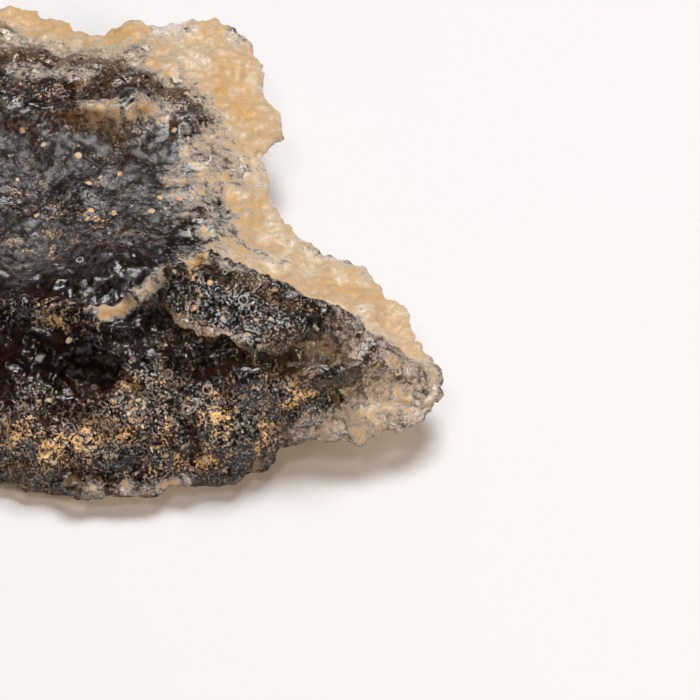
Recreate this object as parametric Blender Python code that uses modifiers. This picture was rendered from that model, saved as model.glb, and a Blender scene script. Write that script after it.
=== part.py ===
"""A moldavite: one rough, thin-edged lump of natural glass, lying on its flattest side.

It is shaped in four steps. Lines along its ridges and hollows give a top and an underside, each of
flat breaks, that a thin rim joins. An even skin is laid over them. Single hollows and lumps are
pressed into that skin and drawn out of it, and it is etched all over with waves and round pits.
Last, it is thinned to few faces and given a flat foot.

The stone is drawn in millimetres and made in metres, +Z up, with its origin on the table under the
middle of its outline. +X runs to the pointed wing, -Y to the steep face under the crest.

Run it with blender --background --python part.py, or from Blender's text editor.
"""

import bmesh
import bpy
from mathutils import Vector, noise
from mathutils.geometry import delaunay_2d_cdt, intersect_point_line

COLLECTION = "moldavite"
STONE = "moldavite_stone"
MM = 0.001

# Driving sizes, in millimetres.
EDGE_THICKNESS = 0.8  # of the thin glass all round the rim
GRAIN = 0.36  # distance between the points of the even skin
SOFTENING = 0.5  # how far each point of the skin is smoothed towards its neighbours, 0 to 1
DAB_FALLOFF = 1.5  # a higher value gives each dab a narrower top
WAVE_SIZE, WAVE_HEIGHT, WAVE_OCTAVES = 4.5, 0.3, 2  # broad waves of the etched surface
PIT_SIZE, PIT_DEPTH = 1.9, 0.64  # round hollows with sharp ridges between them
FOOT_HEIGHT = 0.15  # what lies lower than this is worn flat
TRIANGLES = 9200

# Finish of the glass: near-black and smoky.
GLASS_COLOR = (0.07, 0.055, 0.04, 1.0)
GLASS_ROUGHNESS = 0.35
GLASS_IOR = 1.49

# The rim from above, as the middle of its thin edge, starting at the wing's tip.
RIM = (
    # back edge of the wing
    (17.8, -12.5, 2.8), (17.5, -10.2, 2.9), (16.7, -8.5, 3.0), (15.6, -5.3, 3.1), (14.2, -4.3, 3.2),
    (13.6, -2.9, 3.3), (10.7, -1.6, 3.5),
    # right edge
    (9.5, -0.1, 3.6), (8.7, 1.9, 3.8), (8.5, 4.4, 4.0), (9.6, 8.1, 4.2), (7.9, 9.9, 4.4),
    (8.5, 11.8, 4.5), (7.7, 13.8, 4.5),
    # back edge
    (6.6, 14.8, 4.5), (4.9, 15.4, 4.5), (2.4, 15.5, 4.5), (0.8, 14.6, 4.5), (-0.8, 14.0, 4.5),
    (-2.0, 14.4, 4.5), (-3.8, 15.9, 4.5), (-6.0, 16.8, 4.5), (-8.2, 17.3, 4.3), (-10.4, 16.6, 4.0),
    # left edge
    (-12.2, 14.8, 3.8), (-13.4, 13.4, 3.6), (-13.8, 11.2, 3.4), (-15.8, 9.9, 3.1), (-16.6, 7.2, 2.9),
    (-15.2, 4.6, 2.8), (-15.4, 2.6, 2.6), (-17.3, 0.8, 2.4), (-17.6, -2.0, 2.2), (-16.0, -4.2, 2.0),
    (-15.5, -7.3, 1.8), (-12.7, -8.8, 1.6), (-11.8, -11.2, 1.5), (-8.8, -12.6, 1.2), (-6.8, -14.7, 1.0),
    # front edge, under the steep face
    (-4.6, -15.9, 0.8), (-2.5, -16.4, 0.9), (-0.6, -17.2, 1.0), (1.0, -16.9, 1.3), (2.1, -17.2, 1.2),
    (4.0, -16.5, 1.3), (7.1, -16.0, 1.2), (9.3, -15.0, 1.2), (9.3, -14.4, 1.7),
    # front edge of the wing
    (9.7, -14.2, 2.2), (10.7, -13.9, 2.2), (12.3, -14.4, 2.2), (14.8, -14.2, 2.3), (17.1, -13.3, 2.6),
)

# Lines over the top of the stone, each along one ridge, hollow or ledge, from left to right.
TOP = {
    "crest": (
        (-12.5, -5.5, 4.4), (-8.5, -7.5, 5.6), (-4.6, -8.6, 6.4), (-2.1, -9.6, 6.9), (0.2, -10.5, 7.4),
        (2.0, -10.0, 7.9), (3.6, -9.2, 8.9), (4.8, -8.9, 9.5), (5.6, -8.4, 10.7), (7.2, -9.1, 9.6),
        (8.6, -9.6, 8.9), (10.5, -10.2, 8.0), (11.7, -10.1, 7.5), (13.1, -10.5, 6.9),
        (14.5, -10.9, 6.0), (16.0, -11.6, 4.9),
    ),
    "drop_behind_crest": (
        (3.8, -7.6, 6.9), (5.7, -6.9, 6.9), (7.2, -7.3, 6.4), (8.6, -7.7, 6.0), (10.5, -8.4, 5.4),
        (12.0, -8.7, 5.1), (13.4, -9.1, 4.9),
    ),
    "trough": (
        (-3.7, -7.2, 5.9), (-1.6, -7.9, 6.5), (1.9, -7.9, 7.1), (3.6, -5.9, 6.8), (5.5, -4.6, 6.8),
        (7.1, -4.9, 6.2), (8.5, -5.3, 5.7), (10.5, -6.1, 5.0), (12.0, -6.4, 4.6), (13.5, -7.1, 4.5),
        (15.0, -8.5, 4.2),
    ),
    "edge_of_shell": (
        (4.2, -10.0, 8.8), (4.1, -10.8, 8.4), (4.7, -11.5, 7.9), (5.9, -11.8, 7.7), (7.5, -12.2, 7.4),
        (9.2, -12.3, 7.1), (10.4, -11.9, 7.2), (11.5, -11.3, 7.2),
    ),
    "under_shell": (
        (3.2, -10.4, 7.6), (3.4, -11.7, 6.8), (4.9, -12.2, 6.2), (6.6, -12.4, 5.9), (8.6, -12.7, 5.7),
        (10.5, -12.4, 5.7), (12.0, -12.0, 5.8),
    ),
    "second_crest": (
        (9.5, -13.6, 5.1), (10.6, -13.1, 5.9), (12.8, -12.7, 5.9), (14.2, -12.1, 5.8),
    ),
    "root_of_wing": ((9.7, -14.0, 3.3), (10.9, -13.7, 4.0), (12.2, -13.3, 4.8)),
    "left_face": ((-7.5, -10.4, 4.4), (-4.5, -11.3, 5.4), (-1.6, -12.4, 5.3), (0.9, -12.6, 5.8)),
    "brow": (
        (-4.5, -13.9, 3.9), (-2.4, -14.9, 3.9), (0.0, -14.2, 4.2), (1.6, -14.6, 4.4), (3.6, -14.4, 4.6),
        (5.6, -14.9, 4.4), (7.8, -14.1, 5.2),
    ),
    "foot_of_face": (
        (-3.0, -16.1, 2.2), (0.5, -16.5, 2.4), (3.4, -16.4, 2.3), (5.6, -15.8, 2.9), (8.3, -15.2, 3.0),
    ),
    "face_of_wing": ((11.6, -14.0, 3.1), (13.5, -13.7, 3.2), (15.6, -13.1, 3.4)),
    "floor_of_bowl": (
        (-12.0, -1.0, 4.6), (-7.1, -2.4, 5.7), (-4.0, -2.8, 5.4), (-1.4, -3.1, 5.7), (1.7, -1.9, 6.0),
        (4.7, -0.3, 5.9), (7.0, 0.4, 5.2),
    ),
    "foot_of_bench": (
        (-12.5, 4.5, 5.0), (-7.6, 3.9, 6.0), (-4.2, 4.4, 6.1), (-1.1, 4.1, 6.0), (1.0, 3.7, 6.0),
        (3.0, 4.3, 6.0), (5.1, 3.9, 5.7),
    ),
    "bench": (
        (-12.0, 6.6, 5.6), (-8.0, 6.0, 6.9), (-4.3, 5.8, 7.2), (-1.2, 5.3, 7.5), (0.9, 4.9, 7.7),
        (2.4, 6.3, 7.4), (4.0, 6.0, 6.6), (7.2, 7.0, 5.0),
    ),
    "back_slope": (
        (-12.6, 10.4, 4.8), (-8.6, 11.6, 5.8), (-4.6, 11.1, 6.2), (-0.8, 9.8, 6.0), (2.0, 8.8, 6.6),
        (6.0, 11.2, 5.4),
    ),
}

# Hollows pressed into the worked surface and lumps drawn out of it: how far each one reaches, how
# high it stands (below 0 for a hollow), and the line that it follows.
DABS = {
    "shell": (1.4, 0.5, ((5.2, -10.6, 8.5), (6.3, -11.3, 8.0), (8.4, -11.7, 7.6), (9.8, -11.4, 7.6))),
    "hollow_under_shell": (0.9, -0.7, ((5.4, -12.0, 6.4), (8.6, -12.1, 5.9), (11.4, -11.7, 5.9))),
    "boulder": (1.5, 0.7, ((7.6, -13.0, 6.1), (8.2, -13.2, 5.9))),
    "hollow_beside_boulder": (1.0, -0.7, ((4.2, -12.6, 5.2), (5.3, -12.1, 5.8))),
    "eye": (1.5, -0.7, ((-1.2, -13.3, 4.2), (-0.4, -12.8, 4.9), (0.6, -12.3, 5.1))),
    "brow_of_eye": (1.1, 0.5, ((-1.6, -11.6, 6.2), (0.4, -11.5, 6.8), (0.9, -12.4, 6.2))),
    "cheek": (1.5, 0.5, ((1.4, -14.8, 4.4), (3.2, -15.4, 3.8))),
    "knuckle_left": (1.6, 0.5, ((-3.0, -15.2, 4.0),)),
    "knuckle_low": (1.2, 0.4, ((5.6, -15.6, 3.8), (7.2, -15.3, 3.9))),
    "gutter": (0.9, -0.5, ((4.4, -14.8, 4.2), (5.2, -16.2, 2.6))),
    "fold": (0.8, 0.4, ((9.9, -13.4, 5.7), (11.8, -13.1, 6.0), (13.6, -12.5, 6.1))),
    "dent_in_wing": (1.3, -0.5, ((12.2, -13.9, 3.9), (14.2, -13.2, 4.5))),
    "lip_of_bench": (1.0, 0.3, ((-1.2, 5.2, 7.4), (0.9, 5.0, 7.6), (2.5, 6.2, 7.3))),
    "boss_on_bench": (1.3, 0.5, ((1.8, 8.2, 6.8),)),
    "scoop_far_left": (2.6, -0.8, ((-11.6, -0.6, 4.6), (-9.6, 2.2, 5.2))),
    "spur_far_left": (1.5, 0.7, ((-15.6, -1.4, 3.2), (-13.2, -3.6, 4.2), (-10.8, -5.6, 5.2))),
    "knuckles_far_left": (1.4, 0.5, ((-9.6, -9.4, 4.0), (-7.2, -11.8, 3.8))),
    "dimple_in_back": (1.8, -0.5, ((-8.4, 11.8, 5.8),)),
}

# Points of the underside.
UNDER = (
    # the flat that the stone lies on
    (-9.5, -6.0, -0.2), (-10.0, 2.0, -0.2), (-7.5, 7.5, -0.1), (-3.0, 6.5, -0.2), (1.2, 4.0, -0.1),
    (2.8, -1.0, -0.2), (5.5, -6.0, -0.2), (6.6, -12.0, -0.1), (2.0, -13.5, -0.1), (-3.5, -12.0, -0.2),
    (-3.0, -3.0, -0.3),
    # the belly on the left, low and round
    (-13.5, -4.0, 0.9), (-13.6, 4.0, 1.1), (-11.0, 11.0, 1.8),
    # the hollow under the thin back and right side
    (-6.0, 13.0, 3.2), (-1.0, 11.4, 3.6), (3.4, 11.6, 3.9), (5.0, 7.4, 4.0), (5.8, 2.4, 4.0),
    (7.4, -1.4, 3.8),
    # the hollow under the wing
    (9.0, -4.4, 3.6), (8.8, -9.5, 1.2), (10.6, -6.2, 3.6), (12.8, -6.6, 3.6), (13.2, -9.6, 3.5),
    (12.4, -12.2, 3.0), (15.2, -9.8, 3.4),
)


def sheet(edge, lines):
    """A bmesh sheet of flat breaks inside the edge, creased along each line."""
    points = list(edge)
    creases = [(i, (i + 1) % len(edge)) for i in range(len(edge))]
    for line in lines:
        first = len(points)
        points += line
        creases += [(i, i + 1) for i in range(first, len(points) - 1)]
    plan = [Vector(point[:2]) for point in points]
    inside_creases, merge_gap = 1, 0.0001
    places, _, faces, sources, _, _ = delaunay_2d_cdt(plan, creases, [], inside_creases, merge_gap)
    bm = bmesh.new()
    verts = [bm.verts.new((*place, points[source[0]][2])) for place, source in zip(places, sources)]
    for face in faces:
        bm.faces.new([verts[i] for i in face])
    return bm


def broken_lump():
    """The closed lump of flat breaks, as a mesh: a top and an underside joined by the thin rim."""
    half = EDGE_THICKNESS / 2
    lump = sheet([(x, y, z + half) for x, y, z in RIM], TOP.values())
    under = sheet([(x, y, z - half) for x, y, z in RIM], [[point] for point in UNDER])
    mesh = bpy.data.meshes.new(STONE)
    under.to_mesh(mesh)
    under.free()
    lump.from_mesh(mesh)
    bmesh.ops.bridge_loops(lump, edges=[edge for edge in lump.edges if edge.is_boundary])
    bmesh.ops.triangulate(lump, faces=lump.faces)
    bmesh.ops.recalc_face_normals(lump, faces=lump.faces)
    lump.to_mesh(mesh)
    lump.free()
    return mesh


def with_modifier(mesh, kind, **settings):
    """The mesh as one modifier leaves it."""
    holder = bpy.data.objects.new("holder", mesh)
    bpy.context.scene.collection.objects.link(holder)
    modifier = holder.modifiers.new(kind, kind)
    for name, value in settings.items():
        setattr(modifier, name, value)
    graph = bpy.context.evaluated_depsgraph_get()
    made = bpy.data.meshes.new_from_object(holder.evaluated_get(graph))
    bpy.data.objects.remove(holder)
    return made


def gap_to_line(point, line):
    """The distance from a point to a line of one or more points."""
    gaps = [(point - Vector(corner)).length for corner in line]
    for start, end in zip(line, line[1:]):
        nearest, along = intersect_point_line(point, start, end)
        if 0 < along < 1:
            gaps.append((point - nearest).length)
    return min(gaps)


def dab(bm, reach, height, line):
    """Draws the skin out along its normals near a line, or presses it in."""
    bm.normal_update()
    for vert in bm.verts:
        gap = gap_to_line(vert.co, line) / reach
        if gap < 1:
            vert.co += vert.normal * height * (1 - gap * gap) ** DAB_FALLOFF


def etch(bm):
    """Roughens the skin with broad waves and round pits."""
    bm.normal_update()
    for vert in bm.verts:
        wave = noise.fractal(vert.co / WAVE_SIZE, 1.0, 2.0, WAVE_OCTAVES, noise_basis="PERLIN_NEW")
        pit_centre_gap = noise.voronoi(vert.co / PIT_SIZE)[0][0]
        rise = wave * WAVE_HEIGHT + (pit_centre_gap - 0.5) * PIT_DEPTH
        vert.co += vert.normal * rise


def flatten_foot(bm):
    """Rests the stone on the table: its lowest points are brought to one plane, at height 0."""
    for vert in bm.verts:
        if vert.co.z < FOOT_HEIGHT:
            vert.co.z = 0.0


def centre(bm):
    """Moves the middle of the stone's outline over the origin."""
    xs = [vert.co.x for vert in bm.verts]
    ys = [vert.co.y for vert in bm.verts]
    middle = Vector(((min(xs) + max(xs)) / 2, (min(ys) + max(ys)) / 2, 0.0))
    bmesh.ops.translate(bm, verts=bm.verts, vec=-middle)


def worked_skin():
    """The even skin over the broken lump, with its dabs and its etching, in millimetres."""
    skin = with_modifier(broken_lump(), "REMESH", mode="VOXEL", voxel_size=GRAIN)
    bm = bmesh.new()
    bm.from_mesh(skin)
    bmesh.ops.smooth_vert(
        bm, verts=bm.verts, factor=SOFTENING, use_axis_x=True, use_axis_y=True, use_axis_z=True
    )
    for reach, height, line in DABS.values():
        dab(bm, reach, height, line)
    etch(bm)
    bm.to_mesh(skin)
    bm.free()
    return skin


def stone_mesh():
    """The finished stone: the worked skin with few faces, a flat foot and its real size in metres."""
    skin = worked_skin()
    triangles_in_quads = 2 * len(skin.polygons)
    mesh = with_modifier(skin, "DECIMATE", ratio=TRIANGLES / triangles_in_quads)
    bm = bmesh.new()
    bm.from_mesh(mesh)
    flatten_foot(bm)
    centre(bm)
    bmesh.ops.scale(bm, verts=bm.verts, vec=(MM, MM, MM))
    bmesh.ops.triangulate(bm, faces=bm.faces)
    bm.to_mesh(mesh)
    bm.free()
    mesh.shade_smooth()
    return mesh


def smoky_glass():
    """Near-black natural glass, dull from its etching."""
    material = bpy.data.materials.new("smoky_glass")
    material.use_nodes = True
    shader = material.node_tree.nodes["Principled BSDF"]
    shader.inputs["Base Color"].default_value = GLASS_COLOR
    shader.inputs["Roughness"].default_value = GLASS_ROUGHNESS
    shader.inputs["IOR"].default_value = GLASS_IOR
    shader.inputs["Metallic"].default_value = 0.0
    return material


def main():
    for obj in list(bpy.data.objects):
        bpy.data.objects.remove(obj)
    mesh = stone_mesh()
    mesh.materials.append(smoky_glass())
    collection = bpy.data.collections.new(COLLECTION)
    bpy.context.scene.collection.children.link(collection)
    collection.objects.link(bpy.data.objects.new(STONE, mesh))


main()
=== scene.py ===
# %% [markdown]
# # A rough moldavite
#
# Moldavite is a natural glass. Long ago a meteorite threw drops of melted rock over a wide country, and
# the ground etched them ever since. This one is thin-edged and smoky, near black where it is thick, and
# dusted with pale earth in its pits. The lesson starts from a plain solid of the stone, at its real size
# and in its real place, and gives it a fine surface, a glass to be made of, a table and light. Lengths
# are written in millimetres and turned into metres with MM, because Blender's unit here is the metre.

# %% Load the plain stone
import math

import bmesh
import bpy
import numpy as np
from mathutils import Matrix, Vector, noise
from mathutils.bvhtree import BVHTree
from mathutils.geometry import intersect_point_line


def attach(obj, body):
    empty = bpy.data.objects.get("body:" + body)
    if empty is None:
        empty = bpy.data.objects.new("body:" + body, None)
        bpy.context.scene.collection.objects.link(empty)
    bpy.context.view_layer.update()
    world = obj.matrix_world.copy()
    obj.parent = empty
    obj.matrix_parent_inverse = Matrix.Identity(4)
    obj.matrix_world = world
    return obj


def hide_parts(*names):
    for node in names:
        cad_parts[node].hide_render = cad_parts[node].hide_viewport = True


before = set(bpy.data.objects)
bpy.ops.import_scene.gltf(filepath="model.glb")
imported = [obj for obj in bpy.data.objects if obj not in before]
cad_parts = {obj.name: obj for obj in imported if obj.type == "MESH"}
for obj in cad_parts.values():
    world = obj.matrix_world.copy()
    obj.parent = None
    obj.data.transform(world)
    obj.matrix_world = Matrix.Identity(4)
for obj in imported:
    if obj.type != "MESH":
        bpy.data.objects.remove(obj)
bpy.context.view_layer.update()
plain_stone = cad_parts["moldavite_stone"]
MM = 0.001
print("plain stone:", len(plain_stone.data.polygons), "faces")

# %% [markdown]
# ## The camera
#
# A stone this small is looked at through a close-up lens, from steeply above and aimed well to the right
# of its middle, so that its far left side runs out of view. A camera in Blender is placed most simply by
# the point that it aims at: from there it goes back along its own line of sight. The length of the lens
# then follows from the width of the field at that point.

# %% Place the camera
AIM = Vector((12.89, -12.0, 6.5)) * MM
ELEVATION = math.radians(45)
DISTANCE = 245 * MM
FIELD = 35 * MM
SENSOR = 36
CLIP_START, CLIP_END = 10 * MM, 5.0

camera = bpy.data.objects.new("camera", bpy.data.cameras.new("camera"))
bpy.context.scene.collection.objects.link(camera)
bpy.context.scene.camera = camera
camera.location = AIM + DISTANCE * Vector((0, -math.cos(ELEVATION), math.sin(ELEVATION)))
camera.rotation_euler = (math.radians(90) - ELEVATION, 0, 0)
camera.data.sensor_width = SENSOR
camera.data.lens = SENSOR * DISTANCE / FIELD
camera.data.clip_start = CLIP_START
camera.data.clip_end = CLIP_END
print("lens:", round(camera.data.lens), "mm")

# %% [markdown]
# ## An even skin
#
# The plain solid has a few thousand flat faces. Etched glass has no flats, so the surface needs many
# small, even faces that can be pressed and drawn like clay. Subdividing would keep the old uneven
# triangles, while a voxel remesh lays a fresh even skin over the shape. Smoothing then takes away the
# last of the flat breaks.

# %% Lay the even skin
WELD = 0.001 * MM
SKIN_GRAIN = 0.17 * MM
SMOOTHINGS = 6


def smoothed(bm, times):
    """Lets each point settle halfway towards the middle of its neighbours, so many times."""
    for _ in range(times):
        bmesh.ops.smooth_vert(
            bm, verts=bm.verts, factor=0.5, use_axis_x=True, use_axis_y=True, use_axis_z=True
        )


def with_modifier(mesh, kind, **settings):
    """The mesh as one modifier leaves it."""
    holder = bpy.data.objects.new("holder", mesh)
    bpy.context.scene.collection.objects.link(holder)
    modifier = holder.modifiers.new(kind, kind)
    for name, value in settings.items():
        setattr(modifier, name, value)
    graph = bpy.context.evaluated_depsgraph_get()
    made = bpy.data.meshes.new_from_object(holder.evaluated_get(graph))
    bpy.data.objects.remove(holder)
    return made


merged = bmesh.new()
merged.from_mesh(plain_stone.data)
bmesh.ops.remove_doubles(merged, verts=merged.verts, dist=WELD)
closed = bpy.data.meshes.new("closed")
merged.to_mesh(closed)
merged.free()

skin = bmesh.new()
skin.from_mesh(with_modifier(closed, "REMESH", mode="VOXEL", voxel_size=SKIN_GRAIN))
smoothed(skin, SMOOTHINGS)
skin.normal_update()
print("skin:", len(skin.faces), "four-sided faces")

# %% [markdown]
# ## A line of touch
#
# A sculptor's thumb presses hardest in its middle and fades out towards its edge. The helper below is the
# same thing in numbers. It takes a line of a few corners and a reach, and tells for each point of the skin
# how near the line it is: 1 on the line, easing to 0 at the reach. The box test first throws out the many
# points that are far away, which makes it quick. The same touch shapes the skin now and paints it later.

# %% A line of touch
def places_of(bm):
    """Where each point is, in millimetres, as an array."""
    bm.verts.ensure_lookup_table()
    return np.array([vert.co[:] for vert in bm.verts]) / MM


def touched(places, reach, line):
    """Each point within reach of the line, with a number that is 1 on it and eases to 0 at the reach."""
    corners = [Vector(corner) for corner in line]
    near_box = (places > np.min(line, axis=0) - reach) & (places < np.max(line, axis=0) + reach)
    for index in np.flatnonzero(near_box.all(axis=1)):
        place = Vector(places[index])
        gap = min((place - corner).length for corner in corners)
        for start, end in zip(corners, corners[1:]):
            nearest, along = intersect_point_line(place, start, end)
            if 0 < along < 1:
                gap = min(gap, (place - nearest).length)
        if gap < reach:
            yield int(index), (1 - (gap / reach) ** 2) ** 2


halfway_out = np.array([[0.5, 0.0, 0.0]])
print("halfway out the touch is", dict(touched(halfway_out, 1.0, ((0.0, 0.0, 0.0),)))[0])

# %% [markdown]
# ## Sharper breaks
#
# Glass breaks in shells, with thin lips and dark hollows under them. The plain solid has these forms, but
# its faces are too large to be crisp. Each dab moves the skin along its own normals. A few narrow ones
# draw out the crest and the lips, and press the hollows behind them deeper.

# %% Draw out lips and press in hollows
DABS = {
    # name: (reach, height, line), all in millimetres; a height below 0 presses in
    "behind_crest": (
        1.5, -0.8,
        (
            (-0.6, -8.8, 6.9), (1.2, -8.4, 7.1), (3.0, -7.6, 7.1),
            (5.6, -6.9, 7.1), (8.4, -7.7, 6.3), (11.4, -8.3, 5.5),
        ),
    ),
    "crest_edge": (
        0.75, 0.7,
        (
            (-3.4, -9.1, 6.7), (-1.4, -9.9, 7.2), (0.2, -10.6, 7.6), (1.6, -10.2, 7.7), (3.4, -9.5, 8.8),
            (4.7, -9.0, 9.6), (5.5, -8.8, 10.1), (6.4, -9.1, 9.7), (7.4, -9.4, 9.3), (8.8, -9.7, 8.7),
            (10.6, -10.2, 7.9), (12.2, -10.2, 7.2), (13.4, -10.6, 6.7),
        ),
    ),
    "lip_of_shell": (
        0.6, 0.45,
        (
            (4.2, -10.4, 9.0), (4.1, -11.1, 8.6), (4.6, -11.8, 8.0),
            (6.6, -12.2, 7.8), (8.5, -12.7, 7.5), (9.4, -12.5, 7.5),
        ),
    ),
    "under_shell": (
        1.3, -0.85,
        ((3.6, -11.5, 7.4), (5.0, -12.2, 6.9), (6.8, -12.4, 6.6), (8.8, -12.4, 6.3), (11.2, -11.8, 6.2)),
    ),
    "behind_recess": (1.0, 0.35, ((11.8, -11.4, 6.8), (10.4, -11.2, 7.4))),
    "boulder": (1.1, 0.6, ((7.2, -13.3, 6.2), (8.4, -13.6, 6.2))),
    "knoll_left_of_shell": (0.8, 0.4, ((1.0, -11.3, 7.2), (2.4, -11.0, 7.4))),
    "fold_down_the_face": (
        0.6, 0.5,
        (
            (0.1, -11.0, 7.4), (0.5, -12.0, 6.8), (1.4, -12.4, 6.4),
            (2.7, -13.9, 5.7), (3.7, -14.1, 5.2), (5.2, -14.7, 4.8),
        ),
    ),
    "hollow_beside_boulder": (0.9, -0.7, ((4.2, -12.9, 5.6), (5.5, -12.5, 5.8))),
    "eye": (1.2, -0.7, ((-1.0, -12.5, 5.0), (0.3, -12.9, 5.0))),
    "cheek_under_eye": (1.0, 0.4, ((-0.6, -14.4, 4.8), (1.0, -14.4, 5.2))),
    "gutter": (0.9, -0.5, ((-2.2, -14.4, 4.0), (-1.2, -14.3, 3.9))),
    "knob_left": (1.0, 0.45, ((-3.8, -14.9, 4.3),)),
    "fold_to_wing": (0.7, 0.45, ((9.4, -14.0, 5.2), (11.0, -13.4, 5.9), (13.2, -12.8, 6.1))),
    "under_fold": (0.9, -0.5, ((11.0, -14.2, 4.4), (13.2, -13.6, 4.6), (14.8, -13.0, 4.8))),
    "corner": (0.9, 0.3, ((9.2, -15.3, 2.6),)),
    "foot_ledge": (0.5, 0.35, ((-1.2, -16.8, 1.6), (0.4, -16.9, 1.4), (3.0, -16.8, 1.4), (4.8, -16.5, 1.5))),
    "over_ledge": (0.7, -0.35, ((-1.2, -16.4, 2.4), (1.6, -16.4, 2.4), (4.8, -16.0, 2.4))),
}

for reach, height, line in DABS.values():
    for index, near in touched(places_of(skin), reach, line):
        skin.verts[index].co += skin.verts[index].normal * (near * height * MM)
    skin.normal_update()
print("dabs:", ", ".join(DABS))

# %% [markdown]
# ## The etched relief
#
# Ground water ate pits of every size into the glass, and left sharp ridges where two pits met. A
# Voronoi pattern does the same: it measures how far a point is from the nearest pit's centre, so it is
# deep and round in the middle of each cell and sharp along the borders. Three sizes of pit are pressed
# in along the surface's own normals. Cloudy noise keeps them from looking like a golf ball. The floor of
# the bowl behind the crest is worn smoother than the rest, so there the whole relief is about halved.

# %% Etch the skin
PITS = ((1.5, 0.36), (0.8, 0.22), (0.5, 0.16))  # width and depth of each size of pit, in millimetres
WAVES = ((2.4, 0.3), (0.9, 0.16), (0.45, 0.14))  # width and height of each size of wave
WORN_SHARE, WORN_REACH = 0.55, 7.0
WORN_LINE = ((-8.0, -2.0, 6.0), (-3.0, -2.6, 6.0), (2.0, -2.4, 5.8), (2.0, 1.4, 5.8), (-8.0, 2.4, 5.6))

worn = dict(touched(places_of(skin), WORN_REACH, WORN_LINE))
for vert in skin.verts:
    place = vert.co / MM
    rise = 0.0
    for width, depth in PITS:
        rise += (noise.voronoi(place / width)[0][0] - 0.5) * depth
    for width, height in WAVES:
        rise += noise.noise(place / width, noise_basis="PERLIN_NEW") * height
    rise *= 1 - WORN_SHARE * worn.get(vert.index, 0.0)
    vert.co += vert.normal * rise * MM
skin.normal_update()
print("etched:", len(skin.verts), "points")

# %% [markdown]
# ## Chips along the rim
#
# A thin glass edge never stays whole: it loses scallops of a few tenths of a millimetre. A ray that runs
# from a point of the skin straight down or up through the stone says how thick the stone is there. Where
# it is thin, two sizes of Voronoi cells bite sideways into the edge, deepest at the middle of each cell.

# %% Nick the rim
NICKS = ((1.1, 1.3), (0.5, 0.6))  # width and depth of each size of chip, in millimetres
CHIPPED_THICKNESS = 1.0
BITTEN_RADIUS = 0.5  # of a cell, as a share of its width
RAY_START = 0.02  # millimetres under the skin, so that the ray doesn't meet its own starting point
FOOT_CLEARANCE = 0.4 * MM

skin_tree = BVHTree.FromBMesh(skin)


def thickness(vert):
    """How far a vertical ray travels through the stone from this point, in millimetres."""
    down = Vector((0, 0, -1 if vert.normal.z > 0 else 1))
    hit = skin_tree.ray_cast(vert.co - vert.normal * RAY_START * MM, down)
    return hit[3] / MM if hit[0] is not None else 0.0


chipped = 0
for vert, thick in zip(skin.verts, [thickness(vert) for vert in skin.verts]):
    if vert.co.z < FOOT_CLEARANCE or thick > CHIPPED_THICKNESS:
        continue
    sideways = Vector((vert.normal.x, vert.normal.y, 0)) * (1 - thick / CHIPPED_THICKNESS)
    for width, depth in NICKS:
        bite = max(0.0, BITTEN_RADIUS - noise.voronoi(vert.co / MM / width)[0][0])
        vert.co -= sideways * bite * depth * MM
    chipped += 1
skin.normal_update()
print("points in the thin edge:", chipped)

# %% [markdown]
# ## The foot
#
# The underside was worn flat where the stone lies. After the etching it is brought back to one plane, so
# that the stone stands on the table and doesn't sink into it.

# %% Flatten the foot
FOOT_HEIGHT = 0.12 * MM

for vert in skin.verts:
    if vert.co.z < FOOT_HEIGHT:
        vert.co.z = 0.0
print("lowest point:", min(vert.co.z for vert in skin.verts))
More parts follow.
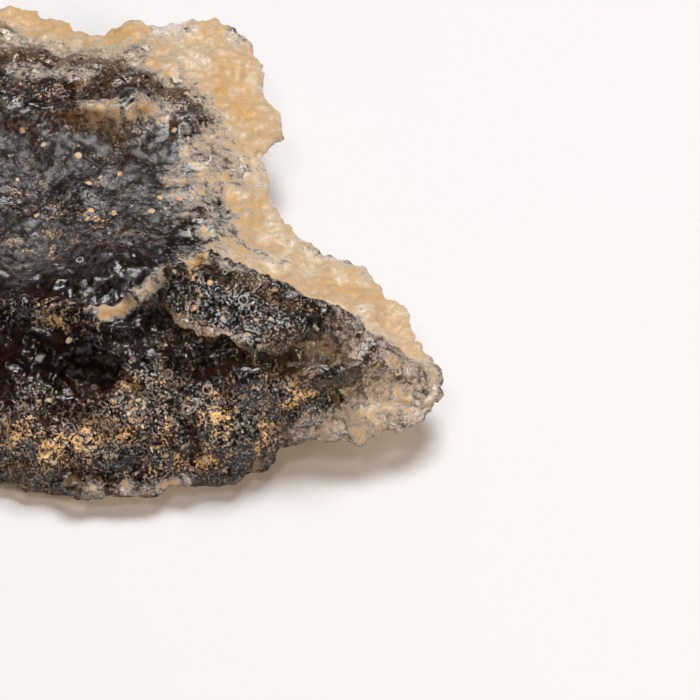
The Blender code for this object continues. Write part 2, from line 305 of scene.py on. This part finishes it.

# %% [markdown]
# ## Where dust, earth, frosting and painted light lie
#
# The stone isn't the same all over. The face under the crest holds patches of pale dust and of yellow
# earth, with clean black glass between them. Some patches paint light and shade: a strip of dust on the
# lip of the shell is a painted highlight, the pressed hollows are kept clear of dust as painted shade,
# and earth along the bench's edge paints its glow. The bowl behind the crest is dulled by a thin haze.
# The rim and the wing are frosted: they are full of fine cracks, and their beige is partly a painted
# glow of the light that shines through the thin glass, as is the tan line along the crest. Each patch is
# a line with a reach and an amount.
# Where patches of one kind overlap, the strongest counts, so they can be laid on without adding up.

# %% Choose the patches
PATCHES = {
    # attribute: ((reach, amount, line), ...), in millimetres; an amount below 0 takes away
    "pale_dust_and_light": (
        (4.2, 0.8, ((-4.5, -14.8, 3.8), (1.5, -14.6, 4.6), (5.6, -14.6, 4.6), (8.0, -14.2, 4.6))),
        (1.5, 1.0, ((4.6, -14.3, 4.6), (7.6, -14.2, 5.0))),
        (1.5, 0.9, ((6.8, -13.4, 6.2), (8.6, -13.8, 6.0))),
        (1.4, 1.0, ((1.6, -14.6, 5.0), (3.4, -14.0, 5.2))),
        (1.6, 0.9, ((-2.0, -15.6, 3.2), (0.6, -15.6, 3.6))),
        (1.1, 0.4, ((0.9, -11.9, 6.4), (3.2, -11.6, 6.6))),
        (1.9, 0.6, ((5.6, -10.4, 9.0), (8.8, -11.4, 8.2))),
        # painted highlight: this narrow strip of pale dust draws the bright line along the lip of the shell
        (0.6, 2.4, ((4.3, -11.2, 8.6), (4.7, -11.9, 8.0), (6.6, -12.3, 7.9), (8.6, -12.9, 7.6))),
        (1.3, -1.0, ((0.6, -11.4, 6.9), (2.2, -11.2, 7.2), (3.6, -10.9, 7.8))),
        # painted shade: the next four patches take the dust out of the pressed hollows under the shell,
        # beside the boulder, at the eye and in the gutter, so that they stay black
        (1.1, -0.9, ((5.0, -12.4, 6.4), (7.4, -12.2, 6.0), (11.4, -11.8, 5.6))),
        (1.0, -0.6, ((4.2, -12.6, 5.4), (5.6, -12.5, 5.5))),
        (1.3, -0.7, ((-1.0, -12.2, 5.2), (0.3, -12.4, 4.8))),
        (1.0, -0.8, ((-2.2, -14.2, 3.9), (-1.3, -14.2, 3.8))),
        (3.4, 0.25, ((5.0, -2.0, 6.0), (5.4, 3.0, 5.8))),
        (2.0, 0.3, ((14.2, -11.4, 5.8), (13.0, -12.6, 5.6))),
        (0.8, 1.5, ((-2.7, -10.0, 7.0), (-2.2, -10.2, 6.9))),
        (3.0, -1.0, ((-5.0, -11.8, 5.2), (-2.0, -12.0, 5.4), (0.2, -12.4, 5.4))),
        (2.8, -0.5, ((-5.0, -6.0, 6.2), (-2.0, -6.4, 6.4), (1.6, -6.4, 6.6))),
    ),
    "earth_and_painted_light": (
        (1.2, 1.0, ((5.0, -15.5, 2.5), (5.8, -15.6, 2.3))),
        (0.9, 0.9, ((5.6, -14.9, 4.5), (6.8, -14.6, 4.4))),
        (1.5, 0.8, ((-2.1, -15.8, 2.9), (-0.8, -15.3, 3.5))),
        (1.1, 0.9, ((-4.0, -15.3, 3.8), (-3.4, -15.2, 4.2))),
        (1.2, 0.7, ((2.0, -15.6, 4.2), (4.0, -15.4, 3.8))),
        (1.2, 0.6, ((0.9, -13.4, 5.4), (1.9, -13.5, 5.6))),
        (0.9, 1.0, ((9.9, -13.9, 4.6), (11.2, -13.6, 5.2))),
        (0.7, 0.9, ((13.3, -12.6, 5.1),)),
        (1.0, 0.5, ((7.9, -15.4, 1.8), (8.3, -15.1, 3.0))),
        (1.5, 0.9, ((11.8, -5.3, 4.6), (13.4, -6.4, 4.8))),
        (2.2, 0.9, ((6.4, 9.6, 5.4), (7.2, 8.0, 5.0))),
        (2.6, 0.8, ((-6.0, 14.6, 5.0), (-2.0, 14.4, 5.2), (1.6, 12.8, 5.6))),
        # painted light: earth along the bench's edge stands for the orange-brown glow of that shaded,
        # see-through edge
        (1.6, 0.9, ((-0.6, 5.0, 7.2), (1.4, 4.6, 7.6), (2.6, 4.4, 7.2))),
        (1.6, 0.7, ((7.2, 1.8, 4.9), (7.8, -0.6, 5.0))),
        (0.8, 0.9, ((-0.9, -1.3, 5.7), (0.2, -2.0, 5.7))),
        (0.7, 0.8, ((0.1, -10.7, 7.7), (1.6, -10.3, 7.9), (3.3, -9.6, 9.0), (5.3, -8.9, 10.0))),
        (3.2, 0.12, ((15.6, -12.0, 4.4), (13.6, -13.6, 3.6), (12.0, -14.2, 3.0))),
        (0.5, 1.3, ((-1.6, -10.5, 7.0), (-1.2, -10.8, 6.8), (-1.2, -11.1, 6.6))),
        (2.6, 0.3, ((-4.4, 3.0, 6.0), (3.0, 3.2, 6.2))),
        (1.2, 0.7, ((4.6, 8.6, 5.8), (3.6, 9.4, 5.8))),
    ),
    "haze": (
        (
            6.0, 1.0,
            ((-8.0, -3.0, 6.0), (-3.0, -3.6, 6.0), (1.6, -3.0, 5.8), (2.0, 2.0, 5.8), (-8.0, 3.0, 5.6)),
        ),
        (2.2, 0.6, ((-0.4, -7.6, 6.6), (2.0, -7.0, 6.6), (5.0, -6.4, 6.6))),
        (1.2, -1.0, ((0.6, -11.4, 6.9), (2.2, -11.2, 7.2), (3.6, -10.9, 7.8))),
    ),
    "frost_and_glow": (
        # frosting on the rim and the wing; its beige is partly a painted glow of the light that shines
        # through the thin glass
        (4.6, 1.1, ((-12.0, 14.0, 4.5), (-9.0, 15.5, 5.0), (-4.9, 14.9, 5.2), (0.5, 13.6, 5.4))),
        (5.2, 1.3, ((4.4, 11.8, 5.5), (6.8, 9.8, 5.3))),
        (4.6, 1.2, ((8.2, 8.3, 4.9), (8.6, 5.3, 4.9), (8.8, 1.4, 4.9), (9.2, -1.2, 4.8))),
        (3.4, 1.4, ((9.4, -3.0, 4.7), (11.9, -4.9, 4.5), (14.0, -6.4, 4.6), (15.8, -8.2, 3.8))),
        (3.0, 1.3, ((7.4, -4.6, 5.9), (9.2, -5.6, 5.4), (11.9, -7.0, 5.2), (14.0, -8.4, 4.8))),
        (3.0, 0.62, ((16.6, -11.6, 4.4), (16.2, -12.8, 3.4), (13.6, -14.2, 3.0), (11.8, -14.6, 2.6))),
        (3.4, 0.9, ((-15.0, 10.0, 3.0), (-16.5, 4.0, 3.0), (-16.0, -3.0, 2.5), (-13.0, -9.0, 2.0))),
        (5.4, 0.4, ((6.2, -3.0, 6.0), (6.4, 4.0, 5.8))),
        # painted light: this frosting lies on the same line as the earth on the bench's edge and paints the
        # same glow
        (1.6, 0.6, ((-0.4, 4.9, 7.3), (2.0, 4.6, 7.6), (3.2, 5.4, 7.2))),
        (1.6, 0.6, ((-4.5, 8.8, 6.6), (-1.0, 8.6, 6.8))),
        # painted glow: these narrow frosting lines draw a tan line along the crest for the light that shines
        # through its thin edge
        (0.7, 1.2, ((0.1, -10.7, 7.7), (1.6, -10.3, 7.9))),
        (0.7, 1.3, ((2.0, -10.2, 8.2), (3.3, -9.6, 9.0), (4.5, -9.1, 9.7), (5.3, -8.9, 10.0))),
        (
            0.5, 0.5,
            ((6.4, -9.1, 9.8), (7.4, -9.4, 9.5), (8.8, -9.7, 8.9), (10.6, -10.2, 8.1), (12.2, -10.2, 7.4)),
        ),
        (2.6, 0.45, ((11.4, -12.0, 6.4), (13.4, -11.4, 6.2), (14.6, -11.6, 5.8))),
        (0.9, 0.5, ((-1.2, -16.8, 1.6), (0.4, -16.9, 1.4), (3.0, -16.8, 1.4), (4.8, -16.5, 1.5))),
    ),
}
print("patches:", ", ".join(f"{len(patches)} of {name}" for name, patches in PATCHES.items()))

# %% [markdown]
# ## Numbers on the skin
#
# Dust settles in pits and never on ridges. How deep a point lies between its neighbours is found by
# comparing the skin with a smoothed copy of itself. Wide clouds called drifts make every kind of cover
# thicker in one place and thinner in another. These two and the four kinds of patch are kept on each
# point as attributes, which the material can read. It costs nothing there, while a noise node would be
# worked out again for each ray of light.

# %% Measure the hollows and paint the patches
HOLLOW_SMOOTHINGS = 5
HOLLOW_DEPTH = 0.16 * MM
UNDERSIDE, UPSIDE = -0.9, -0.3  # frosting and its painted glow fade out as the normal turns down from the second to the first
DRIFT_WIDTHS = (2.2, 0.7)  # of the clouds that gather dust and thin out frosting and its painted glow, in millimetres
DRIFT_HEIGHT = 2.0


def hollowness(bm):
    """For each point, how far it lies below its smoothed surroundings: 0 on a ridge, 1 in a pit."""
    before = [vert.co.copy() for vert in bm.verts]
    normals = [vert.normal.copy() for vert in bm.verts]
    smooth = bm.copy()
    smoothed(smooth, HOLLOW_SMOOTHINGS)
    depths = [(after.co - co).dot(normal) for after, co, normal in zip(smooth.verts, before, normals)]
    smooth.free()
    return np.clip(0.5 + np.array(depths) / HOLLOW_DEPTH, 0.0, 1.0)


def painted(places, patches):
    """For each point, how much of the patches lies on it."""
    most, least = np.zeros(len(places)), np.zeros(len(places))
    for reach, amount, line in patches:
        for index, near in touched(places, reach, line):
            most[index] = max(most[index], near * amount)
            least[index] = min(least[index], near * amount)
    return most + least


paint = {name: painted(places_of(skin), patches) for name, patches in PATCHES.items()}
paint["hollow"] = hollowness(skin)
paint["drifts"] = [
    sum(noise.noise(vert.co / MM / width) * DRIFT_HEIGHT for width in DRIFT_WIDTHS) for vert in skin.verts
]
upright = np.array([vert.normal.z for vert in skin.verts])
paint["frost_and_glow"] *= np.clip((upright - UNDERSIDE) / (UPSIDE - UNDERSIDE), 0.0, 1.0)

stone_mesh = bpy.data.meshes.new("moldavite")
skin.to_mesh(stone_mesh)
skin.free()
for name, values in paint.items():
    stone_mesh.attributes.new(name, "FLOAT", "POINT").data.foreach_set("value", values)
    print(name, "is", round(np.mean(values), 2), "on average")
stone_mesh.shade_smooth()
stone = bpy.data.objects.new("moldavite", stone_mesh)
bpy.context.scene.collection.objects.link(stone)
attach(stone, "root")
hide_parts("moldavite_stone")

# %% [markdown]
# ## The smoky glass
#
# Glass is see-through, and its colour comes from depth: the further light travels in it, the browner and
# darker it gets. So the surface itself has no colour. It only lets light in, and a Volume Absorption
# node inside takes away more blue than red for each millimetre. A thin rim is beige and a thick body is
# black, with one and the same material. The refractive index is that of moldavite, a little below that of
# window glass.

# %% Choose the glass
GLASS_IOR = 1.49
SPECULAR_LEVEL = 0.4
ABSORBED_PER_METRE = 850.0
ABSORPTION_COLOR = (0.69, 0.545, 0.25, 1.0)

thin, thick = (
    [round(math.exp(-ABSORBED_PER_METRE * depth * MM * (1 - part)), 2) for part in ABSORPTION_COLOR[:3]]
    for depth in (1, 5)
)
print("red, green and blue left after 1 mm:", thin, "and after 5 mm:", thick)

# %% [markdown]
# ## A short way to write a material
#
# A material is a tree of small nodes. They could all be placed by hand in the shader editor, but a tree
# this size is easier to read as sums. The helpers below add a node and link it in one line. A value that
# is given as a number is set on the socket, and a value that comes from another node is linked to it.

# %% Helpers for nodes
class Nodes:
    """A short way to add nodes to a material and link them."""

    def __init__(self, name):
        self.material = bpy.data.materials.new(name)
        self.material.use_nodes = True
        self.tree = self.material.node_tree
        self.shader = self.tree.nodes["Principled BSDF"]
        self.output = self.tree.nodes["Material Output"]

    def set(self, node, inputs):
        """Gives each named input of a node its value or its link."""
        for key, value in inputs.items():
            if isinstance(value, bpy.types.NodeSocket):
                self.tree.links.new(value, node.inputs[key])
            else:
                node.inputs[key].default_value = value

    def add(self, kind, inputs, out=0, **settings):
        """A new node with these inputs and settings; what comes back is one of its outputs."""
        node = self.tree.nodes.new(kind)
        for name, value in settings.items():
            setattr(node, name, value)
        self.set(node, inputs)
        return node.outputs[out]

    def math(self, operation, *values):
        """One step of arithmetic."""
        return self.add("ShaderNodeMath", dict(enumerate(values)), operation=operation)

    def total(self, *weighted):
        """The sum of (value, weight) pairs."""
        result = 0.0
        for value, weight in weighted:
            result = self.math("MULTIPLY_ADD", value, weight, result)
        return result

    def most(self, *values):
        """The highest of the values."""
        result = values[0]
        for value in values[1:]:
            result = self.math("MAXIMUM", result, value)
        return result

    def ramp(self, value, low, high, out_low=0.0, out_high=1.0):
        """Eases from out_low to out_high as the value goes from low to high."""
        inputs = {0: value, 1: low, 2: high, 3: out_low, 4: out_high}
        return self.add("ShaderNodeMapRange", inputs, interpolation_type="SMOOTHSTEP")

    def blend(self, amount, first, second):
        """A colour that goes from the first to the second."""
        return self.add("ShaderNodeMix", {0: amount, 6: first, 7: second}, out=2, data_type="RGBA")


glass = Nodes("smoky_glass")
print("a new material has", len(glass.tree.nodes), "nodes")

# %% [markdown]
# ## What the glass reads
#
# Every pattern needs to know where on the stone it is. Object coordinates are metres from the stone's own
# origin, so the patterns stay on the glass when it is moved. Scaled up a thousand times they are
# millimetres. The six numbers that were painted on the skin come in through Attribute nodes.

# %% Read the place and the paint
object_place = glass.add("ShaderNodeTexCoord", {}, out=3)
in_mm = glass.add("ShaderNodeMapping", {"Vector": object_place, "Scale": (1 / MM, 1 / MM, 1 / MM)})
height_in_mm = glass.add("ShaderNodeSeparateXYZ", {0: in_mm}, out=2)
dust_and_light_here, earth_and_light_here, haze_here, frost_and_glow_here, hollow_here, drifts = (
    glass.add("ShaderNodeAttribute", {}, out=2, attribute_name=name)
    for name in ("pale_dust_and_light", "earth_and_painted_light", "haze", "frost_and_glow", "hollow", "drifts")
)
print("painted on the skin:", ", ".join(paint))

# %% [markdown]
# ## Two kinds of pattern
#
# Everything on the glass is made from two patterns. Clouds are soft noise. Grains are spots around the
# centres of Voronoi cells, and each cell throws dice for its own grain: whether it is there, how large it
# is and how opaque. The cells are bent a little by noise, so that no grain is a perfect circle. Both are
# measured in millimetres, so a number in the material is a size that can be checked under a loupe.

# %% Clouds and grains
CLOUD_HEIGHT = 14.0
BEND, BEND_WIDTH = 0.16, 0.4  # how far the cells are pushed about, and how wide the pushes are
GRAIN_EDGE = (-0.01, 0.02)  # a grain fades out over this distance around its radius
FAINTNESS = (-0.8, 0.5)  # a grain is solid if the last of its dice is above the second number


def clouds(width, detail, roughness):
    """Cloudy noise that swings around 0, whose clouds are about this wide."""
    inputs = {"Vector": in_mm, "Scale": 1 / width, "Detail": detail, "Roughness": roughness}
    noise_here = glass.add("ShaderNodeTexNoise", inputs)
    return glass.math("MULTIPLY_ADD", noise_here, CLOUD_HEIGHT, -CLOUD_HEIGHT / 2)


bend = glass.add("ShaderNodeTexNoise", {"Vector": in_mm, "Scale": 1 / BEND_WIDTH, "Detail": 1.5}, out=1)
bent = glass.add("ShaderNodeVectorMath", {0: bend, 1: (BEND,) * 3, 2: in_mm}, operation="MULTIPLY_ADD")


def cells(width, place=bent):
    """A Voronoi pattern: the distance to a cell's centre, and three dice from 0 to 1 of each cell."""
    node = glass.tree.nodes.new("ShaderNodeTexVoronoi")
    glass.set(node, {"Vector": place, "Scale": 1 / width})
    dice = glass.tree.nodes.new("ShaderNodeSeparateColor")
    glass.set(dice, {0: node.outputs["Color"]})
    return glass.math("MULTIPLY", node.outputs["Distance"], width), dice.outputs


def grains(width, smallest, largest, share):
    """Grains of these radii on a share of the cells: how opaque they are, and the last of the dice."""
    gap, dice = cells(width)
    radius = glass.ramp(dice[1], 0.0, 1.0, smallest, largest)
    spot = glass.ramp(glass.math("SUBTRACT", gap, radius), *GRAIN_EDGE, 1.0, 0.0)
    here = glass.math("LESS_THAN", dice[0], share)
    opacity = glass.math("MULTIPLY", glass.math("MULTIPLY", spot, here), glass.ramp(dice[2], *FAINTNESS))
    return opacity, dice[2]


fine = clouds(0.15, 3.0, 0.8)
coarse = clouds(0.3, 4.0, 0.78)
soft = clouds(0.3, 1.0, 0.5)
print("nodes so far:", len(glass.tree.nodes))

# %% [markdown]
# ## Dust in the pits
#
# Dust is a fine pepper of pale grains, thick in the hollows and on the face, with a thin film of the same
# dust between them. How many of the cells hold a grain is a plain sum: more where a patch of dust or a
# drift lies and in hollows, less on frosted glass, and least where a patch clears it or haze covers it.
# In the pressed hollows under the shell, beside the boulder, at the eye and in the gutter, that clearing is
# painted shade. Small pits, a third of a millimetre apart, catch most of what is left.

# %% Scatter the dust
DUST_START = 0.47
CLEARING_PATCH, CLEARED = -0.7, 1.6  # in a patch of this amount or less, this much dust is taken off; in the pressed hollows this is painted shade
PIT_SPACING, PIT_MIDDLE, PIT_BORDER = 0.34, 0.04, 0.2
CAUGHT_IN_PITS, LEFT_ON_RIDGES = 1.3, 0.4
FINE_GRAINS = (0.11, 0.01, 0.045)  # spacing, smallest and largest radius
LARGE_GRAINS = (0.22, 0.02, 0.08)
THICKEST_FILM = 0.8

dust_share = glass.total((dust_and_light_here, 0.92), (hollow_here, 0.6), (drifts, 0.32), (frost_and_glow_here, -0.3))
cleared_and_shaded = glass.ramp(dust_and_light_here, CLEARING_PATCH, 0.0, CLEARED, 0.0)
kept_off = glass.total((cleared_and_shaded, 1.0), (haze_here, 0.68))
dust_share = glass.math("SUBTRACT", glass.math("SUBTRACT", dust_share, DUST_START), kept_off)
pit_gap, _ = cells(PIT_SPACING, in_mm)
in_pits = glass.ramp(pit_gap, PIT_MIDDLE, PIT_BORDER, CAUGHT_IN_PITS, LEFT_ON_RIDGES)
fine_share = glass.math("MULTIPLY", dust_share, in_pits)
fine_dust, _ = grains(*FINE_GRAINS, glass.math("MULTIPLY", fine_share, 0.85))
large_dust, large_dice = grains(*LARGE_GRAINS, glass.math("MULTIPLY", fine_share, 0.68))
film_depth = glass.total((fine, 0.45), (coarse, 0.35), (fine_share, 1.1))
film = glass.ramp(film_depth, 0.3, 2.3, 0.0, THICKEST_FILM)
haze = glass.math("MULTIPLY", haze_here, glass.total((coarse, 0.05), (drifts, 0.04), (1.0, 0.02)))
film = glass.most(film, haze)
print("nodes so far:", len(glass.tree.nodes))

# %% [markdown]
# ## Earth, crumbs and rings
#
# Earth is yellower than dust and clings in clots with ragged edges, which clouds draw well: where the
# cover is thick enough, the cloud rises over a level and shows. Along the bench's edge the earth is
# painted light, the orange-brown glow of that shaded edge. Between the clots lie loose crumbs. Here
# and there is a ring, the rim of a burst bubble. Crumbs and rings come from the same wide cells, so one
# pattern serves both and they never sit on top of each other.

# %% Add earth, crumbs and rings
CLOT_LEVEL = (3.2, 3.8)
CRUMB_SPACING = 0.95
RING_SHARE, RING_RADII, RING_WIDTH = 0.15, (0.10, 0.26), 0.05
CRUMB_SHARE, CRUMB_RADII, CRUMB_EDGE = 0.7, (0.02, 0.14), (-0.05, 0.04)

clot_cover = glass.total(
    (earth_and_light_here, 2.2), (dust_and_light_here, 0.85), (hollow_here, 0.6), (drifts, 1.0), (kept_off, -0.8)
)
clot_cover = glass.math("SUBTRACT", clot_cover, glass.math("MULTIPLY", frost_and_glow_here, 0.9))
clot_depth = glass.total((coarse, 0.9), (fine, 0.8), (clot_cover, 1.0))
clots = glass.ramp(clot_depth, *CLOT_LEVEL)

crumb_gap, crumb_dice = cells(CRUMB_SPACING)
ring_radius = glass.ramp(crumb_dice[1], 0.0, 1.0, *RING_RADII)
ring_here = glass.math("LESS_THAN", crumb_dice[0], RING_SHARE)
ring_edge = glass.math("ABSOLUTE", glass.math("SUBTRACT", crumb_gap, ring_radius))
rings = glass.math("MULTIPLY", glass.ramp(ring_edge, 0.0, RING_WIDTH, 0.7, 0.0), ring_here)
crumb_radius = glass.ramp(crumb_dice[1], 0.0, 1.0, *CRUMB_RADII)
crumb_radius = glass.total((crumb_radius, 1.0), (coarse, 0.025), (haze_here, 0.04))
crumb_here = glass.math("GREATER_THAN", crumb_dice[0], 1 - CRUMB_SHARE)
crumbs = glass.ramp(glass.math("SUBTRACT", crumb_gap, crumb_radius), *CRUMB_EDGE, 0.9, 0.0)
crumbs = glass.math("MULTIPLY", crumbs, crumb_here)
solid = glass.most(fine_dust, large_dust, clots, rings, crumbs)
opaque = glass.most(solid, film)
print("nodes so far:", len(glass.tree.nodes))

# %% [markdown]
# ## The colours of what covers it
#
# Dust is creamy low down, near the soil that the stone lay in, and chalky higher up. A third of the large
# grains, and every crumb and ring, is stained by iron, from ochre to rust. A clot is stained at its thin
# edge and pale where it is thick. The film takes the colour of brown haze, or of chalk where dust is
# thickest.

# %% Colour the dust and the earth
CREAM = (1.0, 0.80, 0.48, 1.0)
CHALK = (0.74, 0.77, 0.78, 1.0)
OCHRE = (0.95, 0.50, 0.12, 1.0)
RUST = (0.50, 0.21, 0.05, 1.0)
HAZE = (0.50, 0.36, 0.21, 1.0)
CREAMY_BELOW, CHALKY_ABOVE = 4.5, 8.0  # heights in millimetres
STAINED_SHARE = 0.32

warmth = glass.ramp(height_in_mm, CHALKY_ABOVE, CREAMY_BELOW, -0.6, 0.9)
pale_color = glass.blend(glass.ramp(glass.math("ADD", coarse, warmth), -0.9, 0.9), CHALK, CREAM)
earth_color = glass.blend(glass.ramp(fine, -0.6, 2.4), OCHRE, RUST)
stained = glass.most(rings, crumbs, glass.math("GREATER_THAN", large_dice, 1 - STAINED_SHARE))
grain_color = glass.blend(stained, pale_color, earth_color)
clot_color = glass.blend(glass.ramp(clot_depth, 4.0, 6.4), earth_color, CREAM)
haze_color = glass.blend(glass.ramp(dust_share, 0.9, 1.6), HAZE, CHALK)
dust_color = glass.blend(solid, haze_color, glass.blend(clots, grain_color, clot_color))
print("nodes so far:", len(glass.tree.nodes))

# %% [markdown]
# ## The frosted edges and their painted glow
#
# Fine cracks throw back some of the light before it goes deep, so the frosted rim is a milky beige. That
# beige is partly painted: it also stands for the light that shines through the thin rim and the crest
# edge. Part of its light still goes through, as in a real thin edge. Towards the dark body the frosting
# thins out into browner clouds. Earth has stained the cracks from pale to tan in wide, soft blotches.

# %% Frost the thin glass and paint its glow
FROST_AND_GLOW_WHITE = (0.87, 0.72, 0.53, 1.0)
FROST_AND_GLOW_PALE = (0.69, 0.50, 0.31, 1.0)
FROST_AND_GLOW_STAINED = (0.72, 0.45, 0.20, 1.0)
FROST_AND_GLOW_THIN = (0.62, 0.42, 0.23, 1.0)
FROST_AND_GLOW_SHARE = 0.8  # of the light that thick frosting, with its painted glow, doesn't let through

near_frost_and_glow = glass.ramp(frost_and_glow_here, 0.0, 0.5, 0.0, 1.0)
frost_and_glow_clouds = glass.total((soft, 0.05), (coarse, 0.09), (fine, 0.03), (drifts, 0.26))
frost_and_glow_cover = glass.math("ADD", frost_and_glow_here, glass.math("MULTIPLY", frost_and_glow_clouds, near_frost_and_glow))
frost_and_glow = glass.ramp(frost_and_glow_cover, 0.1, 1.05)
stain = glass.total((drifts, 0.7), (coarse, 0.2), (soft, 0.15), (earth_and_light_here, 1.2))
frost_and_glow_color = glass.blend(glass.ramp(stain, -1.4, 0.3), FROST_AND_GLOW_WHITE, FROST_AND_GLOW_PALE)
frost_and_glow_color = glass.blend(glass.ramp(stain, 0.0, 2.1), frost_and_glow_color, FROST_AND_GLOW_STAINED)
frost_and_glow_color = glass.blend(glass.ramp(frost_and_glow_cover, 0.1, 0.9), FROST_AND_GLOW_THIN, frost_and_glow_color)
print("nodes so far:", len(glass.tree.nodes))

# %% [markdown]
# ## Pits too small for the mesh
#
# The mesh has a point every sixth of a millimetre, so the smallest pits don't fit in it. They only bend
# the light, and a Bump node makes them from the same cells that catch the dust. Its distance is the real
# height of the relief. The bump is weak on dust and frosting, which are dull, and where the dust is
# cleared or the glass is hazed.

# %% Press in the smallest pits
BUMP_HEIGHT = 0.022 * MM

relief = glass.total((soft, 0.7), (pit_gap, 6.0))
bump_share = glass.ramp(glass.most(solid, frost_and_glow), 0.0, 0.9, 1.0, 0.2)
for cover, low, high, out_low, out_high in (
    (drifts, -1.0, 0.8, 0.25, 1.0),
    (haze_here, 0.0, 0.5, 1.0, 0.4),
    (dust_and_light_here, -0.8, 0.0, 0.3, 1.0),
):
    bump_share = glass.math("MULTIPLY", bump_share, glass.ramp(cover, low, high, out_low, out_high))
bump = glass.add("ShaderNodeBump", {"Strength": bump_share, "Distance": BUMP_HEIGHT, "Height": relief})
print("bump height:", BUMP_HEIGHT / MM, "mm")

# %% [markdown]
# ## Putting the glass together
#
# One Principled shader does it all. Bare glass is clear, nearly smooth and white, because its colour comes
# from inside. Frosting takes away part of the see-through share and brings its own colour, partly a
# painted glow, and dust takes away all of it. Both are rougher than the glass, and so is the hazed bowl.

# %% Finish the glass
BARE_GLASS = (1.0, 1.0, 1.0, 1.0)
GLASS_ROUGHNESS, DUST_ROUGHNESS = 0.2, 0.85
FROST_ROUGHNESS, HAZE_ROUGHNESS = 0.4, 0.45

roughness = glass.most(
    glass.ramp(opaque, 0.0, 0.6, GLASS_ROUGHNESS, DUST_ROUGHNESS),
    glass.math("MULTIPLY", frost_and_glow, FROST_ROUGHNESS),
    glass.math("MULTIPLY", haze_here, HAZE_ROUGHNESS),
)
clear = glass.math("SUBTRACT", 1.0, glass.math("MULTIPLY", frost_and_glow, FROST_AND_GLOW_SHARE))
clear = glass.math("MULTIPLY", clear, glass.math("SUBTRACT", 1.0, opaque))
glass.set(
    glass.shader,
    {
        "Base Color": glass.blend(opaque, glass.blend(frost_and_glow, BARE_GLASS, frost_and_glow_color), dust_color),
        "Roughness": roughness,
        "IOR": GLASS_IOR,
        "Specular IOR Level": SPECULAR_LEVEL,
        "Transmission Weight": clear,
        "Normal": bump,
    },
)
absorption = glass.add(
    "ShaderNodeVolumeAbsorption", {"Color": ABSORPTION_COLOR, "Density": ABSORBED_PER_METRE}
)
glass.set(glass.output, {"Volume": absorption})
stone_mesh.materials.append(glass.material)
print("glass nodes:", len(glass.tree.nodes))

# %% [markdown]
# ## The table
#
# The stone lies on plain near-white board, which also throws light back up through its thin parts. One
# large square is enough. It lies a hundredth of a millimetre under the foot, so that the two surfaces
# don't fight over the same place.

# %% Set the table
BOARD_COLOR = (0.87, 0.85, 0.86, 1.0)
BOARD_ROUGHNESS = 0.9
BOARD_SPECULAR = 0.2
BOARD_HALF = 1.5
BOARD_GAP = 0.01 * MM

board_bm = bmesh.new()
bmesh.ops.create_grid(board_bm, x_segments=1, y_segments=1, size=BOARD_HALF)
bmesh.ops.translate(board_bm, verts=board_bm.verts, vec=(0, 0, -BOARD_GAP))
board_mesh = bpy.data.meshes.new("board")
board_bm.to_mesh(board_mesh)
board_bm.free()
board = bpy.data.objects.new("board", board_mesh)
bpy.context.scene.collection.objects.link(board)

card = Nodes("white_card")
card.set(
    card.shader,
    {"Base Color": BOARD_COLOR, "Roughness": BOARD_ROUGHNESS, "Specular IOR Level": BOARD_SPECULAR},
)
board_mesh.materials.append(card.material)
print("board:", 2 * BOARD_HALF, "m wide")

# %% [markdown]
# ## The light
#
# Black glass shows whatever shines on it, so wide lamps would lay a grey veil over it. Small ones leave it
# deep and give it glints. The strongest hangs above and a little behind, so the top sides shine, the
# front stays dark and the shadow falls forward. A small one in front brings out the face. A warm one low
# on the right lights the face and the wing from the side. A faint blue one behind cools the bowl. The
# world adds only a trace, so that no shadow is empty.

# %% Light it
LAMPS = {
    # name: (place, width, watts, color), in metres
    "lamp_above": ((0.05, 0.09, 0.41), 0.20, 1.54, (0.97, 0.982, 1.0)),
    "lamp_in_front": ((-0.06, -0.18, 0.36), 0.08, 0.21, (1.0, 0.92, 0.84)),
    "lamp_low_right": ((0.26, -0.22, 0.18), 0.08, 0.49, (1.0, 0.82, 0.62)),
    "lamp_behind": ((-0.20, 0.36, 0.36), 0.25, 0.08, (0.70, 0.85, 1.0)),
}
WORLD_COLOR = (1.0, 0.99, 0.98, 1.0)
WORLD_STRENGTH = 0.06

for name, (place, width, watts, color) in LAMPS.items():
    lamp = bpy.data.lights.new(name, "AREA")
    lamp.size = width
    lamp.energy = watts
    lamp.color = color
    box = bpy.data.objects.new(name, lamp)
    bpy.context.scene.collection.objects.link(box)
    box.location = place
    box.rotation_euler = (-Vector(place)).to_track_quat("-Z", "Y").to_euler()

world = bpy.data.worlds.new("studio")
bpy.context.scene.world = world
world.use_nodes = True
world.node_tree.nodes["Background"].inputs["Color"].default_value = WORLD_COLOR
world.node_tree.nodes["Background"].inputs["Strength"].default_value = WORLD_STRENGTH
bpy.context.scene.view_settings.view_transform = "Standard"
print("lamps:", ", ".join(LAMPS))
